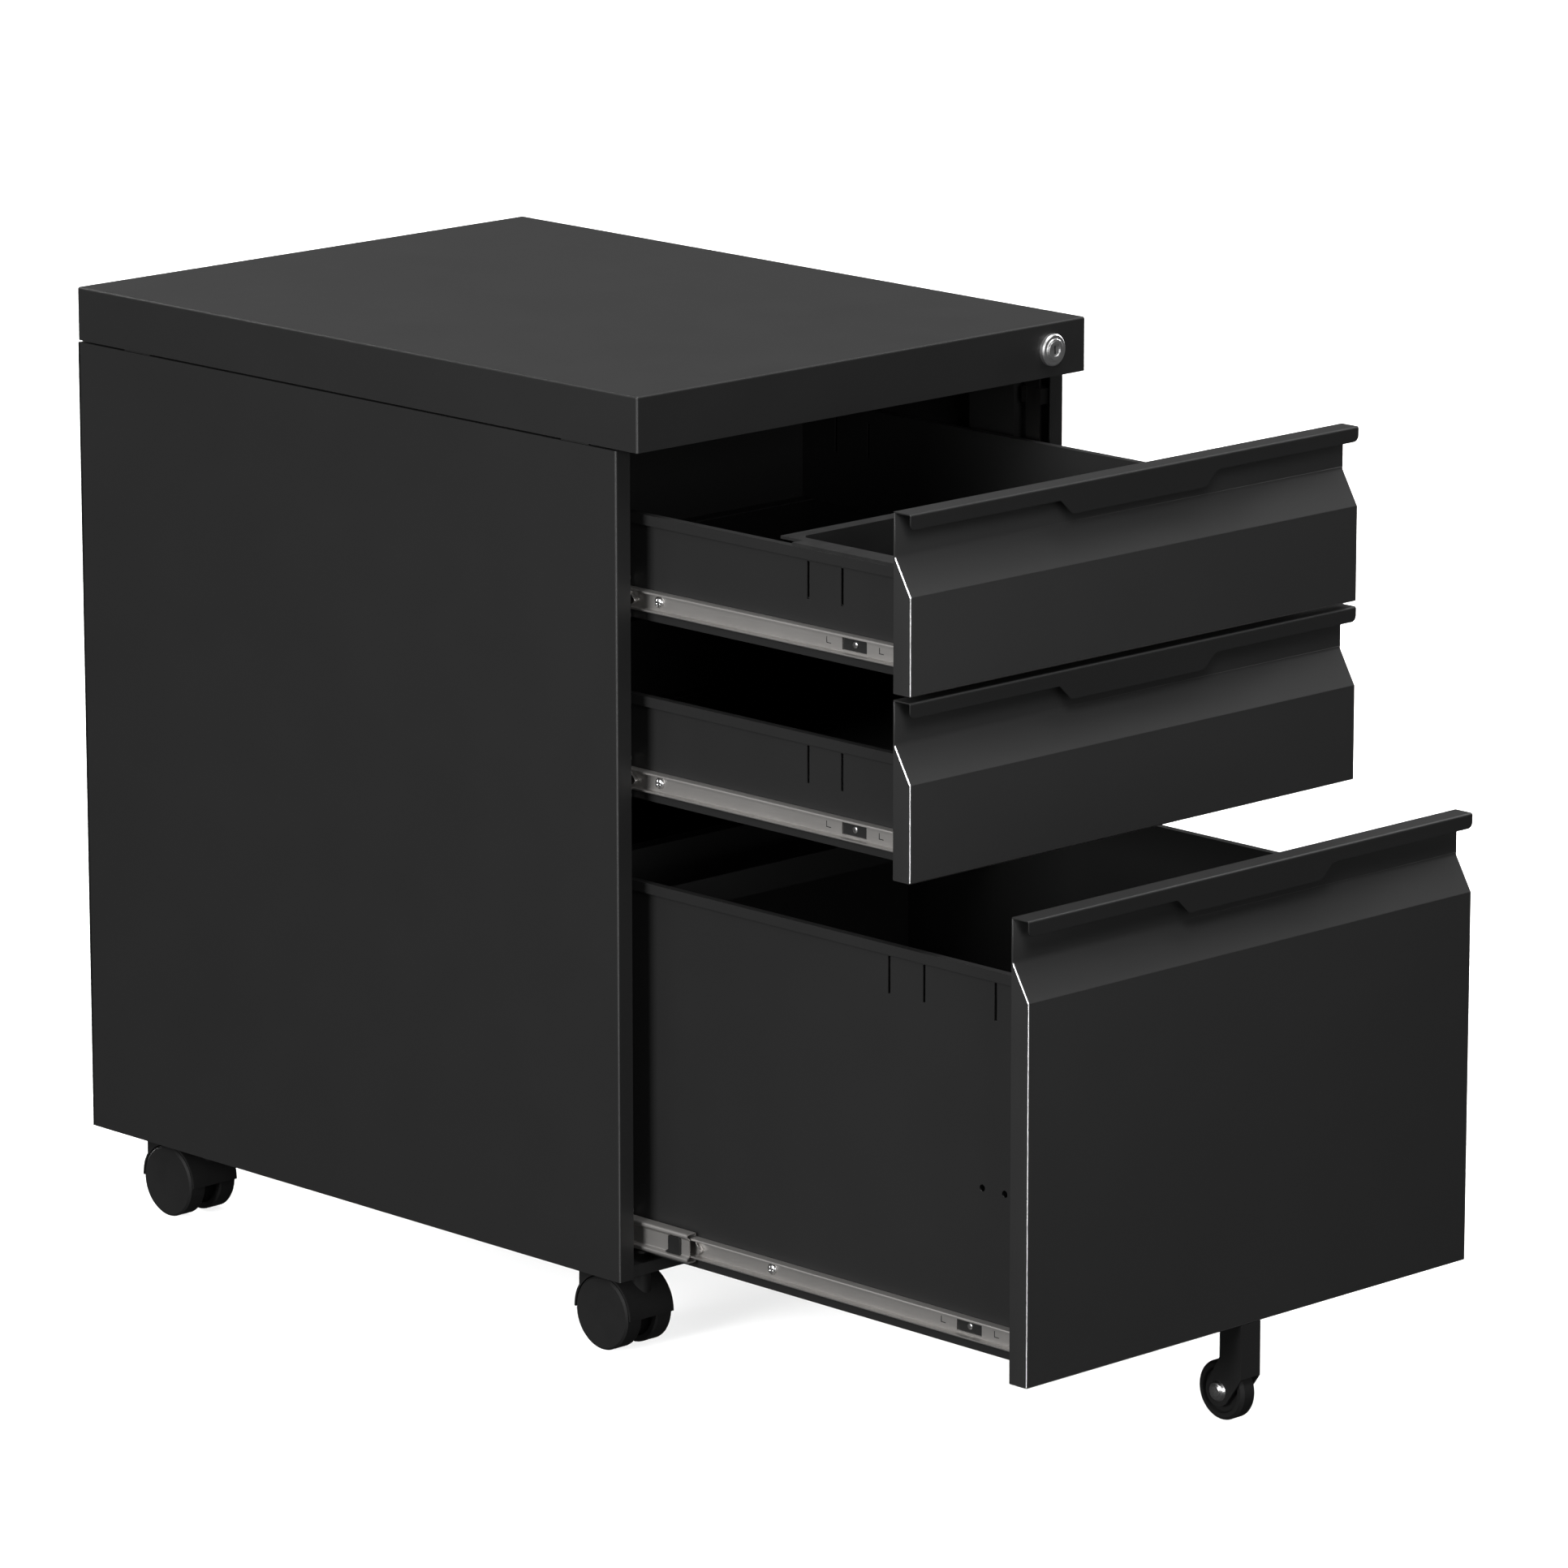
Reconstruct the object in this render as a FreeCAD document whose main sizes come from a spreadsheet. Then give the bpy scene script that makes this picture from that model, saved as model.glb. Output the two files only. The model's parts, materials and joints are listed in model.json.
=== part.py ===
import FreeCAD, Part
import math
import os
import Sketcher

# Mobile three-drawer pedestal cabinet in folded sheet steel.
# Frame: +X to the right of a person facing the drawers, the drawers open towards -Y, +Z up.
# The floor is z = 0. The stored pose has the drawers standing open, and the origin is the
# middle of that footprint. Each piece has its own local frame and a Placement.

V = FreeCAD.Vector
doc = FreeCAD.newDocument("pedestal")
sheet = doc.addObject("Spreadsheet::Sheet", "Dims")

DIMS = [
    # whole cabinet
    ("cab_width", 390, "overall width"),
    ("cab_depth", 530, "cover depth"),
    ("cab_height", 618, "floor to cover top"),
    ("cover_drop", 35, "cover skirt height"),
    ("cover_gauge", 1.0, "cover sheet thickness"),
    ("cover_bend", 1.5, "cover corner radius"),
    ("cover_gap", 1.2, "gap between cover and side panels"),
    ("gauge", 0.9, "body sheet thickness"),
    ("panel_bend", 1.3, "side panel corner radius"),
    ("setback", 19.2, "body front edge behind the cover front"),
    ("body_foot", 55.5, "side panel lower edge above the floor"),
    ("front_return", 11.8, "side panel front flange"),
    ("rear_return", 12, "side panel rear flange"),
    ("top_return", 13, "side panel top flange"),
    ("pan_top", 64, "bottom panel top face above the floor"),
    ("pan_lip", 7.5, "bottom panel lip height"),
    ("rail_wide", 25, "cross rail width"),
    ("rail_inset", 45, "cross rail distance from the cover's front and back"),
    ("post_face", 17.5, "upright inner face, from the cabinet side"),
    ("post_wide", 40, "upright width"),
    ("post_front", 46, "front upright, behind the cover front"),
    ("post_rear", 430, "rear upright, behind the cover front"),
    # drawer fronts
    ("front_deep", 14.3, "drawer front side flange"),
    ("front_gauge", 0.9, "drawer front sheet thickness"),
    ("pull_back", 13, "depth of the pull recess"),
    ("pull_drop", 27.7, "pull recess, top of front to its lower bend"),
    ("bevel_drop", 50, "top of front to the lower end of the bevel"),
    ("lip_drop", 9.5, "pull lip height"),
    ("tab_drop", 19, "pull lip height at the middle tab"),
    ("tab_top", 136.5, "middle tab width at the lip's lower edge"),
    ("tab_low", 116, "middle tab width at its lower edge"),
    ("lip_round", 4, "radius of the lip's lower corners"),
    ("small_high", 110.3, "shallow drawer front height"),
    ("large_high", 286.2, "deep drawer front height"),
    ("base_top", 469.5, "top drawer front, lower edge above the floor"),
    ("base_mid", 355.8, "middle drawer front, lower edge above the floor"),
    ("base_low", 65.3, "deep drawer front, lower edge above the floor"),
    ("open_small", 235, "shallow drawers' opening in the stored pose"),
    ("open_large", 334, "deep drawer's opening in the stored pose"),
    # drawer boxes
    ("box_inset", 30, "drawer side wall, from the cabinet side"),
    ("box_gauge", 0.8, "drawer box sheet thickness"),
    ("box_start", 7, "box front end behind the front face"),
    ("box_long", 455, "drawer box length"),
    ("box_lift", 2.2, "box underside above the front's lower edge"),
    ("small_deep", 66.9, "shallow box height"),
    ("large_deep", 239.3, "deep box height"),
    ("rim_out", 4.5, "side wall rim overhang"),
    ("rim_drop", 6.4, "side wall rim lip height"),
    ("slot_wide", 2, "divider slot width"),
    ("slot_low", 31.8, "divider slot lower end below the rim"),
    ("slot_high", 8.5, "divider slot upper end below the rim"),
    ("back_short", 10, "box back wall lower than the rims by"),
    # slides
    ("slide_long", 450, "slide length"),
    ("slide_start", 37, "slide front end behind the cover front"),
    ("slide_gauge", 1, "slide sheet thickness"),
    ("outer_half", 13.5, "outer member half height"),
    ("outer_deep", 11, "outer member depth"),
    ("middle_half", 9.5, "middle member half height"),
    ("middle_face", 20, "middle member web, from the cabinet side"),
    ("middle_deep", 8, "middle member depth"),
    ("inner_half", 6.5, "inner member half height"),
    ("inner_deep", 6.5, "inner member depth"),
    ("inner_start", 16, "inner member front end behind the drawer front"),
    ("inner_long", 440, "inner member length"),
    ("slide_small", 15.4, "shallow drawer slide axis above the front's lower edge"),
    ("slide_large", 16.2, "deep drawer slide axis above the front's lower edge"),
    ("carry_large", 57, "middle member already drawn out on the deep drawer"),
    ("window_near", 66, "window front edge behind the drawer front"),
    ("window_long", 21, "window length"),
    ("window_high", 8, "window height"),
    ("screw_back", 246.6, "slide screw behind the drawer front"),
    # pen tray
    ("pen_half", 168, "pen tray rim half width"),
    ("pen_front", 15.5, "pen tray front edge behind the drawer front"),
    ("pen_step", 128, "pen tray wide rim, rear end"),
    ("pen_rear", 147, "pen tray rear edge"),
    ("pen_neck", 159.3, "pen tray half width behind the step"),
    ("pen_rim", 1.8, "pen tray rim thickness"),
    ("pen_deep", 34, "pen tray depth"),
    ("pen_well", 152.5, "pen tray well half width"),
    ("pen_wall", 1.6, "pen tray wall thickness"),
    # lock
    ("lock_side", 31, "lock axis from the cabinet's right side"),
    ("lock_down", 17.4, "lock axis below the cover top"),
    ("lock_flange", 10.3, "lock flange radius"),
    ("lock_body", 8, "lock barrel radius"),
    ("lock_bore", 6, "lock barrel bore radius"),
    ("lock_play", 0.05, "lock core radial clearance"),
    ("cam_reach", 9, "cam pin radius from the lock axis"),
    ("bar_side", 14.5, "lock bar face, from the cabinet side"),
    ("bar_gauge", 1.5, "lock bar thickness"),
    ("bar_front", 25, "lock bar behind the cover front"),
    ("bar_wide", 12, "lock bar width"),
    ("bar_foot", 250, "lock bar lower end above the floor"),
    # castors
    ("castor_side", 39, "swivel axis from the cabinet side"),
    ("castor_front", 42.2, "front swivel axis behind the cover front"),
    ("castor_rear", 462.7, "rear swivel axis behind the cover front"),
    ("castor_trail", 15.3, "wheel axis behind the swivel axis"),
    ("wheel_round", 23.6, "castor wheel radius"),
    ("wheel_outer", 19.7, "castor wheel outer face from the middle"),
    ("wheel_inner", 6.2, "castor wheel inner face from the middle"),
    ("hood_gap", 0.7, "hood clearance over the wheel"),
    ("hood_gauge", 1.5, "hood thickness"),
    ("hood_half", 18.6, "hood half width"),
    ("axle_round", 3, "castor axle radius"),
    ("stem_round", 4, "castor stem radius"),
    ("play", 0.05, "radial running clearance"),
    # anti-tip wheel
    ("tip_round", 18.9, "anti-tip wheel radius"),
    ("tip_wide", 12.5, "anti-tip wheel width"),
    ("tip_lift", 0.8, "anti-tip wheel above the floor"),
    ("tip_back", 19.4, "anti-tip axle behind the drawer front"),
    ("fork_deep", 18, "fork cheek depth at its top"),
    ("fork_wide", 17, "fork width"),
    ("fork_gauge", 1.3, "fork sheet thickness"),
]
for row, (alias, value, note) in enumerate(DIMS, 1):
    sheet.set(f"A{row}", note)
    sheet.set(f"B{row}", str(value))
    sheet.setAlias(f"B{row}", alias)
doc.recompute()


class Dim:
    """A length that carries both its value and the spreadsheet formula that gives it."""

    def __init__(self, value, text):
        self.value = value
        self.text = text

    def _join(self, other, sign, value, flip=False):
        text = other.text if isinstance(other, Dim) else repr(other)
        first, second = (text, self.text) if flip else (self.text, text)
        return Dim(value, f"({first} {sign} {second})")

    def __add__(self, other):
        return self._join(other, "+", self.value + number(other))

    def __radd__(self, other):
        return self._join(other, "+", number(other) + self.value, flip=True)

    def __sub__(self, other):
        return self._join(other, "-", self.value - number(other))

    def __rsub__(self, other):
        return self._join(other, "-", number(other) - self.value, flip=True)

    def __mul__(self, other):
        return self._join(other, "*", self.value * number(other))

    def __rmul__(self, other):
        return self._join(other, "*", number(other) * self.value, flip=True)

    def __truediv__(self, other):
        return self._join(other, "/", self.value / number(other))

    def __neg__(self):
        return Dim(-self.value, f"(0 - {self.text})")


def number(item):
    """The plain number behind a Dim or a number."""
    return item.value if isinstance(item, Dim) else item


def dim(alias):
    """The driving dimension with this alias."""
    return Dim(float(sheet.get(alias)), f"Dims.{alias}")


D = {alias: dim(alias) for alias, _value, _note in DIMS}
HALF = D["cab_width"] / 2
COVER_FRONT = (D["open_large"] - D["cab_depth"]) / 2
BODY_BACK = D["cab_depth"] - 0.1
BODY_TOP = D["cab_height"] - D["cover_drop"] - D["cover_gap"]
HOOK_TRAVEL = D["cam_reach"] * math.sqrt(2)
LOCK_X = HALF - D["lock_side"]
LOCK_Z = D["cab_height"] - D["lock_down"]
NODES = []


# ---- helpers -------------------------------------------------------------------------------


def bind(item, prop, size):
    """Set a property from a Dim through an expression, or from a plain number."""
    if isinstance(size, Dim):
        item.setExpression(prop, size.text)
    elif "." in prop:
        item.setExpression(prop, repr(size))
    else:
        setattr(item, prop, size)


def new_body(label):
    """A PartDesign body that is one sub-part."""
    body = doc.addObject("PartDesign::Body", label)
    body.Label = label
    NODES.append(body)
    return body


def place(item, x=0, y=0, z=0, turn=None):
    """Put a sub-part in the cabinet frame; y counts from the cover's front face."""
    if turn is not None:
        item.Placement = FreeCAD.Placement(V(0, 0, 0), FreeCAD.Rotation(*turn))
    bind(item, "Placement.Base.x", x)
    bind(item, "Placement.Base.y", COVER_FRONT + y)
    bind(item, "Placement.Base.z", z)


def sketch(body, plane, outlines=(), circles=(), offset=0):
    """A sketch on one of the body's own planes, from closed outlines and circles.

    Every corner is dimensioned from the sketch origin, each value bound to the sheet.
    """
    plane_item = [item for item in body.Origin.OriginFeatures if item.Role == plane + "_Plane"][0]
    drawing = body.newObject("Sketcher::SketchObject", body.Name + "_sketch")
    drawing.AttachmentSupport = [(plane_item, "")]
    drawing.MapMode = "FlatFace"
    bind(drawing, "AttachmentOffset.Base.z", offset)
    for corners in outlines:
        first = drawing.GeometryCount
        count = len(corners)
        spots = [V(number(a), number(b), 0) for a, b in corners]
        lines = [Part.LineSegment(spots[i], spots[(i + 1) % count]) for i in range(count)]
        drawing.addGeometry(lines)
        for i in range(count):
            after = first + (i + 1) % count
            drawing.addConstraint(Sketcher.Constraint("Coincident", first + i, 2, after, 1))
        for i, (a, b) in enumerate(corners):
            pin(drawing, "DistanceX", first + i, 1, a)
            pin(drawing, "DistanceY", first + i, 1, b)
    for a, b, radius in circles:
        spot = V(number(a), number(b), 0)
        ring = drawing.addGeometry(Part.Circle(spot, V(0, 0, 1), number(radius)))
        pin(drawing, "DistanceX", ring, 3, a)
        pin(drawing, "DistanceY", ring, 3, b)
        hold = drawing.addConstraint(Sketcher.Constraint("Radius", ring, number(radius)))
        if isinstance(radius, Dim):
            drawing.setExpression(f"Constraints[{hold}]", radius.text)
    return drawing


def pin(drawing, kind, geometry, point, size):
    """Dimension one sketch point from the origin along one axis."""
    hold = drawing.addConstraint(Sketcher.Constraint(kind, -1, 1, geometry, point, number(size)))
    if isinstance(size, Dim):
        drawing.setExpression(f"Constraints[{hold}]", size.text)


def pad(body, drawing, length, both=False, back=False):
    """Pad a sketch by a length, to one side or equally to both."""
    feature = body.newObject("PartDesign::Pad", body.Name + "_pad")
    feature.Profile = drawing
    bind(feature, "Length", length)
    feature.SideType = "Symmetric" if both else "One side"
    feature.Reversed = back
    return feature


def pocket(body, drawing, length, both=False, back=False):
    """Cut a sketch out of the body by a length."""
    feature = body.newObject("PartDesign::Pocket", body.Name + "_pocket")
    feature.Profile = drawing
    bind(feature, "Length", length)
    feature.SideType = "Symmetric" if both else "One side"
    feature.Reversed = back
    return feature


def revolve(body, drawing, axis):
    """Turn a sketch all the way round one of its own axes (H_Axis or V_Axis)."""
    feature = body.newObject("PartDesign::Revolution", body.Name + "_turned")
    feature.Profile = drawing
    feature.ReferenceAxis = (drawing, [axis])
    feature.Angle = 360
    return feature


def mirror_x(body, feature):
    """Repeat a feature on the other side of the body's YZ plane."""
    plane_item = [item for item in body.Origin.OriginFeatures if item.Role == "YZ_Plane"][0]
    copy = body.newObject("PartDesign::Mirrored", body.Name + "_mirror")
    copy.Originals = [feature]
    copy.MirrorPlane = (plane_item, [""])
    body.Tip = copy
    return copy


def round_edges(body, radius, wanted):
    """Fillet the edges of the body's tip whose middle point and direction pass the test."""
    doc.recompute()
    base = body.Tip
    names = []
    for index, edge in enumerate(base.Shape.Edges, 1):
        if edge.Curve.TypeId == "Part::GeomLine":
            ends = [point.Point for point in edge.Vertexes]
            if wanted((ends[0] + ends[1]) / 2, ends[1] - ends[0]):
                names.append(f"Edge{index}")
    feature = body.newObject("PartDesign::Fillet", body.Name + "_round")
    feature.Base = (base, names)
    bind(feature, "Radius", radius)
    return feature


def hollow(body, wall, wanted):
    """Turn the body's tip into sheet metal, open at the faces whose middle passes the test."""
    doc.recompute()
    base = body.Tip
    names = [f"Face{i}" for i, face in enumerate(base.Shape.Faces, 1) if wanted(face)]
    feature = body.newObject("PartDesign::Thickness", body.Name + "_shell")
    feature.Base = (base, names)
    feature.Reversed = True
    feature.Join = "Intersection"
    bind(feature, "Value", wall)
    return feature


def rectangle(a0, b0, a1, b1):
    """Corners of a rectangle."""
    return [(a0, b0), (a1, b0), (a1, b1), (a0, b1)]


def along(direction, axis):
    """True when a vector runs along one axis (0, 1 or 2)."""
    return abs(direction[axis]) > 0.999 * direction.Length


def near(a, b):
    """True when two lengths agree to a hundredth of a millimetre."""
    return abs(a - number(b)) < 0.01


def side_x(side, inset):
    """x of a plane this far inside the left (-1) or right (+1) cabinet side."""
    return side * HALF - side * inset


# ---- cabinet body --------------------------------------------------------------------------


def make_cover():
    """Folded top cover: a tray upside down, with a hole for the lock."""
    body = new_body("top_cover")
    high = D["cab_height"]
    outline = rectangle(-HALF, 0, HALF, D["cab_depth"])
    pad(body, sketch(body, "XY", [outline], offset=high - D["cover_drop"]), D["cover_drop"])
    top = number(high)
    round_edges(body, D["cover_bend"],
                lambda mid, run: along(run, 2) or near(mid.z, top))
    hollow(body, D["cover_gauge"],
           lambda face: near(face.CenterOfMass.z, high - D["cover_drop"]))
    hole = sketch(body, "XZ", circles=[(LOCK_X, LOCK_Z, D["lock_body"] + 0.1)])
    pocket(body, hole, 5)
    place(body)


def make_side_panel(label, side):
    """Side panel: one folded channel with front and rear returns and a top flange."""
    body = new_body(label)
    wall = D["gauge"]
    front = D["setback"]
    back = BODY_BACK - wall
    outer = side_x(side, 0)
    inner = side_x(side, wall)
    channel = [
        (outer, front), (side_x(side, D["front_return"]), front),
        (side_x(side, D["front_return"]), front + wall), (inner, front + wall),
        (inner, back - wall), (side_x(side, D["rear_return"]), back - wall),
        (side_x(side, D["rear_return"]), back), (outer, back),
    ]
    pad(body, sketch(body, "XY", [channel], offset=D["body_foot"]), BODY_TOP - D["body_foot"])
    flange = rectangle(inner, front + wall, side_x(side, D["top_return"]), back - wall)
    pad(body, sketch(body, "XY", [flange], offset=BODY_TOP - wall), wall)
    edge = number(HALF)
    round_edges(body, D["panel_bend"], lambda mid, run: along(run, 2) and near(abs(mid.x), edge))
    place(body)


def make_back_panel():
    """Flat back panel with flanges along its top and bottom edges."""
    body = new_body("back_panel")
    wall = D["gauge"]
    sheet_face = rectangle(-HALF, D["body_foot"], HALF, BODY_TOP)
    pad(body, sketch(body, "XZ", [sheet_face], offset=-BODY_BACK), wall)
    reach = HALF - D["top_return"] - 1
    for level in (BODY_TOP - wall, D["body_foot"]):
        strip = rectangle(-reach, BODY_BACK - 16, reach, BODY_BACK - wall)
        pad(body, sketch(body, "XY", [strip], offset=level), wall)
    place(body)


def make_bottom_panel():
    """Bottom panel: a pan turned over, with a hole for each castor stem."""
    body = new_body("bottom_panel")
    wall = D["gauge"]
    side = HALF - wall
    pan = rectangle(-side, D["setback"] + wall, side, BODY_BACK - 2 * wall)
    pad(body, sketch(body, "XY", [pan], offset=D["pan_top"] - D["pan_lip"]), D["pan_lip"])
    hollow(body, wall, lambda face: near(face.CenterOfMass.z, D["pan_top"] - D["pan_lip"]))
    spot = HALF - D["castor_side"]
    holes = [(s * spot, y, D["stem_round"] + 0.1)
             for s in (-1, 1) for y in (D["castor_front"], D["castor_rear"])]
    pocket(body, sketch(body, "XY", circles=holes, offset=D["pan_top"]), 3)
    place(body)


def make_cross_rail(label, start):
    """Box-section rail under the cover, from side to side."""
    body = new_body(label)
    wall = D["gauge"]
    top = D["cab_height"] - D["cover_gauge"]
    outer = rectangle(0, BODY_TOP, D["rail_wide"], top)
    inner = rectangle(wall, BODY_TOP + wall, D["rail_wide"] - wall, top - wall)
    reach = D["cab_width"] - 2 * D["cover_gauge"] - 1.2
    pad(body, sketch(body, "YZ", [outer, inner]), reach, both=True)
    place(body, y=start)


def make_uprights(label, side):
    """Front and rear uprights of one side, channels that carry the slides."""
    body = new_body(label)
    wall = D["gauge"]
    face = side_x(side, D["post_face"])
    inner = side_x(side, D["post_face"] - wall)
    outer = side_x(side, wall)
    channels = []
    for start in (D["post_front"], D["post_rear"]):
        end = start + D["post_wide"]
        channels.append([
            (outer, start), (face, start), (face, end), (outer, end),
            (outer, end - wall), (inner, end - wall), (inner, start + wall), (outer, start + wall),
        ])
    pad(body, sketch(body, "XY", channels, offset=D["pan_top"]), BODY_TOP - wall - D["pan_top"])
    place(body)


# ---- slides --------------------------------------------------------------------------------


def slide_channel(face, reach, half, lip):
    """C-shaped slide section: a web at x = face, legs reaching to x = face + reach."""
    wall = D["slide_gauge"] if number(reach) > 0 else -D["slide_gauge"]
    gauge = D["slide_gauge"]
    tip = face + reach
    return [
        (face, -half), (tip, -half), (tip, -(half - lip)), (tip - wall, -(half - lip)),
        (tip - wall, -(half - gauge)), (face + wall, -(half - gauge)),
        (face + wall, half - gauge), (tip - wall, half - gauge),
        (tip - wall, half - lip), (tip, half - lip), (tip, half), (face, half),
    ]


def round_slide(body, half):
    """Round the two outside bends of a slide member."""
    edge = number(half)
    round_edges(body, 0.8, lambda mid, run: along(run, 1) and near(abs(mid.z), edge))


def make_outer_slides(label, height):
    """Cabinet members of one drawer's slides, left and right."""
    body = new_body(label)
    section = slide_channel(-HALF + D["post_face"], D["outer_deep"], D["outer_half"], 2.8)
    channel = pad(body, sketch(body, "XZ", [section]), D["slide_long"], back=True)
    mirror_x(body, channel)
    round_slide(body, D["outer_half"])
    place(body, y=D["slide_start"], z=height)


def make_middle_slides(label, height, drawn):
    """Floating middle members of one drawer's slides."""
    body = new_body(label)
    section = slide_channel(-HALF + D["middle_face"], D["middle_deep"], D["middle_half"], 2.2)
    channel = pad(body, sketch(body, "XZ", [section]), D["slide_long"], back=True)
    mirror_x(body, channel)
    round_slide(body, D["middle_half"])
    place(body, y=D["slide_start"] - drawn, z=height)


def make_retainers(label, height, drawn):
    """Plastic stops at the front ends of the middle members."""
    body = new_body(label)
    face = -HALF + D["middle_face"] + D["slide_gauge"] + 0.1
    high = D["middle_half"] - D["slide_gauge"] - 0.1
    web = 1.2
    leg = 1.3
    reach = D["middle_deep"] - 2.4
    section = [
        (face, -high), (face + reach, -high), (face + reach, -high + leg), (face + web, -high + leg),
        (face + web, high - leg), (face + reach, high - leg), (face + reach, high), (face, high),
    ]
    stop = pad(body, sketch(body, "XZ", [section]), 12, back=True)
    mirror_x(body, stop)
    place(body, y=D["slide_start"] - drawn + 8, z=height)


def make_inner_slide(label, side, front_y, height):
    """Drawer member of one slide, with its front window."""
    body = new_body(label)
    gauge = D["slide_gauge"]
    web = side_x(side, D["box_inset"])
    section = slide_channel(web, side_x(side, 0) / HALF * D["inner_deep"], D["inner_half"], gauge + 0.4)
    pad(body, sketch(body, "XZ", [section]), D["inner_long"], back=True)
    near_end = D["window_near"] - D["inner_start"]
    window = rectangle(near_end, -D["window_high"] / 2, near_end + D["window_long"],
                       D["window_high"] / 2)
    pocket(body, sketch(body, "YZ", [window], offset=web), 6, both=True)
    round_slide(body, D["inner_half"])
    place(body, y=front_y + D["inner_start"], z=height)


# ---- drawers -------------------------------------------------------------------------------


def make_front(label, front_y, base, high):
    """Folded drawer front: skin with a recessed pull, side flanges, and the pull lip."""
    body = new_body(label)
    wall = D["front_gauge"]
    deep = D["front_deep"]
    profile = [
        (0, 0), (0, high - D["bevel_drop"]), (D["pull_back"], high - D["pull_drop"]),
        (D["pull_back"], high), (deep, high), (deep, 0),
    ]
    pad(body, sketch(body, "YZ", [profile]), D["cab_width"], both=True)
    hollow(body, wall, lambda face: near(face.CenterOfMass.y, deep))
    shelf = rectangle(-HALF, 0, HALF, D["pull_back"] + wall)
    pad(body, sketch(body, "XY", [shelf], offset=high - wall), wall)
    top = D["tab_top"] / 2
    low = D["tab_low"] / 2
    lip = [
        (-HALF, high), (-HALF, high - D["lip_drop"]), (-top, high - D["lip_drop"]),
        (-low, high - D["tab_drop"]), (low, high - D["tab_drop"]), (top, high - D["lip_drop"]),
        (HALF, high - D["lip_drop"]), (HALF, high),
    ]
    pad(body, sketch(body, "XZ", [lip]), wall, back=True)
    edge = number(HALF)
    level = number(high - D["lip_drop"])
    round_edges(body, D["lip_round"],
                lambda mid, run: along(run, 1) and near(abs(mid.x), edge) and near(mid.z, level))
    place(body, y=front_y, z=base)


def make_box(label, front_y, base, high, slots, holes):
    """Folded drawer box: bottom and side walls in one piece, with outward rims."""
    body = new_body(label)
    wall = D["box_gauge"]
    out = D["rim_out"]
    drop = D["rim_drop"]
    half = HALF - D["box_inset"]
    right = [
        (half - wall, wall), (half - wall, high), (half + out, high), (half + out, high - drop),
        (half + out - wall, high - drop), (half + out - wall, high - wall), (half, high - wall),
        (half, 0),
    ]
    left = [(-x, z) for x, z in reversed(right)]
    pad(body, sketch(body, "XZ", [left + right]), D["box_long"], back=True)
    cuts = [rectangle(y - D["slot_wide"] / 2 - D["box_start"], high - D["slot_low"],
                      y + D["slot_wide"] / 2 - D["box_start"], high - D["slot_high"])
            for y in slots]
    rings = [(y - D["box_start"], high - z, 2.25) for y, z in holes]
    pocket(body, sketch(body, "YZ", cuts, rings), 2 * half + 1, both=True)
    place(body, y=front_y + D["box_start"], z=base + D["box_lift"])


def make_box_back(label, front_y, base, high):
    """Back wall of a drawer box, with a folded top edge."""
    body = new_body(label)
    wall = D["box_gauge"]
    half = HALF - D["box_inset"] - wall
    top = high - D["back_short"]
    profile = [
        (0, 0), (-12, 0), (-12, wall), (-wall, wall), (-wall, top - wall), (-12, top - wall),
        (-12, top), (0, top),
    ]
    pad(body, sketch(body, "YZ", [profile]), 2 * half, both=True)
    place(body, y=front_y + D["box_start"] + D["box_long"], z=base + D["box_lift"] + wall)


def make_fasteners(label, front_y, slide_z, stud_z):
    """Slide screws and window rivets on both sides, and the lock stud on the right."""
    pieces = []
    face = HALF - D["box_inset"]
    gauge = D["slide_gauge"]
    heads = [
        # distance behind the front, radius, inner end and length along x
        (D["screw_back"], 3.3, face + gauge, 1.8),
        (D["window_near"] + D["window_long"] / 2, 2.1, face, 0.8),
    ]
    for side in (-1, 1):
        for spot, radius, start, length in heads:
            pieces.append(peg(label, side, spot, 0, radius, start, length))
    pieces.append(peg(label, 1, D["bar_front"] + 6, stud_z - slide_z, 3, face, 11))
    group = doc.addObject("Part::Compound", label)
    group.Label = label
    group.Links = pieces
    NODES.append(group)
    place(group, y=front_y, z=slide_z)


def peg(owner, side, y, z, radius, start, length):
    """A cylinder along x that stands out from a drawer's side wall."""
    item = doc.addObject("Part::Cylinder", owner + "_peg")
    bind(item, "Radius", radius)
    bind(item, "Height", length)
    item.Placement = FreeCAD.Placement(V(0, 0, 0), FreeCAD.Rotation(V(0, 1, 0), 90 * side))
    bind(item, "Placement.Base.x", side * start)
    bind(item, "Placement.Base.y", y)
    bind(item, "Placement.Base.z", z)
    return item


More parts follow.
